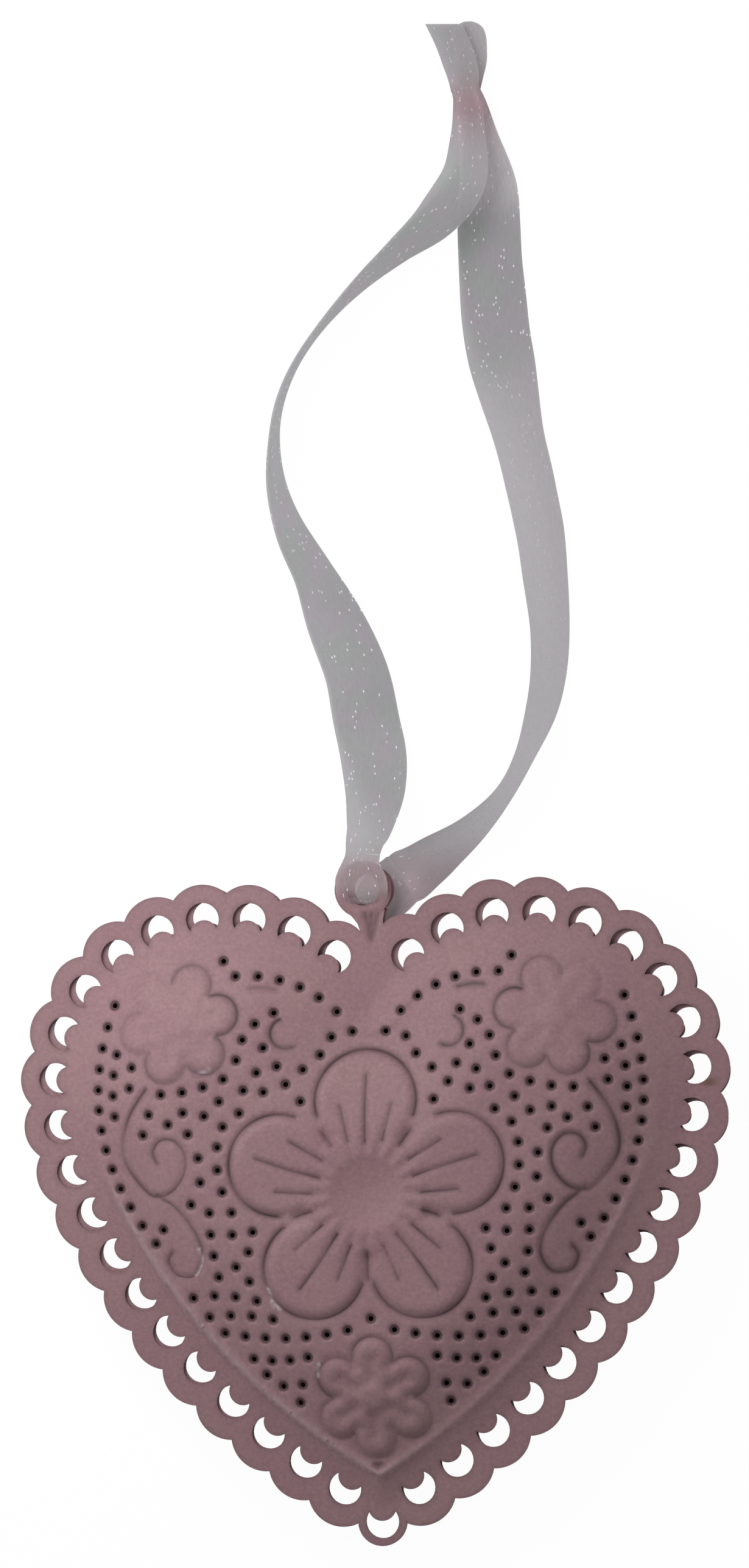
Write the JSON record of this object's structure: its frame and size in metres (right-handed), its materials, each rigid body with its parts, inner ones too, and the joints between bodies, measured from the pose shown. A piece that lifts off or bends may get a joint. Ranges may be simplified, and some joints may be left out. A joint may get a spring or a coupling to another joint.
{
  "type": "hanging heart ornament",
  "caption": "Hollow heart pressed from painted sheet metal, with a scalloped lace edge, embossed flowers and pierced dots, hung on a loop of sheer ribbon.",
  "frame": {"origin": "bottom centre of the metal heart as it lies face up, without the ribbon", "axes": "+X to the right and +Y towards the eyelet as seen from the front, +Z out of the front face"},
  "size_m": [0.107, 0.23, 0.0145],
  "materials": {
    "paint": "worn satin paint on pressed steel sheet",
    "weld": "spot weld",
    "organza": "sheer, with a faint shimmer"
  },
  "bodies": {
    "heart": {"front_shell": "paint", "back_shell": "paint", "weld_right_1": "weld", "weld_right_2": "weld", "weld_right_3": "weld", "weld_right_4": "weld", "weld_left_1": "weld", "weld_left_2": "weld", "weld_left_3": "weld", "weld_left_4": "weld"},
    "ribbon": {"ribbon_left_run": "organza", "ribbon_bight": "organza", "ribbon_right_run": "organza", "ribbon_knot": "organza", "ribbon_upper_tail": "organza", "ribbon_lower_tail": "organza"}
  },
  "joints": [
    {"name": "ribbon_lift", "type": "hinge", "parent": "heart", "child": "ribbon", "pos_m": [-0.00101, 0.05021, 0.00725], "axis": [1, 0, 0], "range_deg": [0, 100]}
  ]
}
